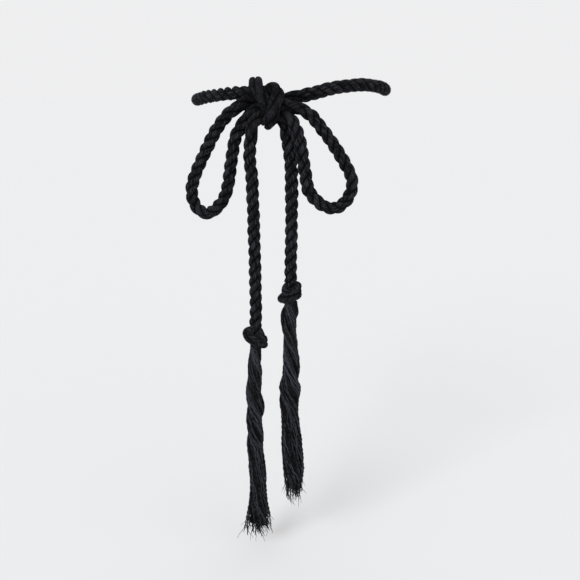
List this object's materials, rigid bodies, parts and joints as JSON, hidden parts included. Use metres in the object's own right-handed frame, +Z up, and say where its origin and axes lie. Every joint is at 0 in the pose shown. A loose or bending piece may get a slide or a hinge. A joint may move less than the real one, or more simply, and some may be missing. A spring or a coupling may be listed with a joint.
{
  "type": "twisted rope belt tied in a bow",
  "caption": "Thick twisted rope belt tied at the front in a bow, with hanging tails that end in overhand knots and long yarn tassels.",
  "frame": {"origin": "middle of the waist hollow, at the height of the belt", "axes": "+Z up along the wearer's body, the bow faces -Y, +X is the right side as seen from the front"},
  "size_m": [0.2293, 0.2266, 0.5138],
  "materials": {
    "rope": "matte spun yarn, twisted in three strands",
    "yarn": "matte crinkled yarn, unravelled from the rope"
  },
  "bodies": {
    "root": {"waist_rope": "rope", "bow_knot": "rope", "bow_loop_left": "rope", "bow_loop_right": "rope", "tail_left": "rope", "tail_right": "rope", "end_knot_left": "rope", "end_knot_right": "rope", "tassel_left": "yarn", "tassel_right": "yarn"}
  },
  "joints": []
}
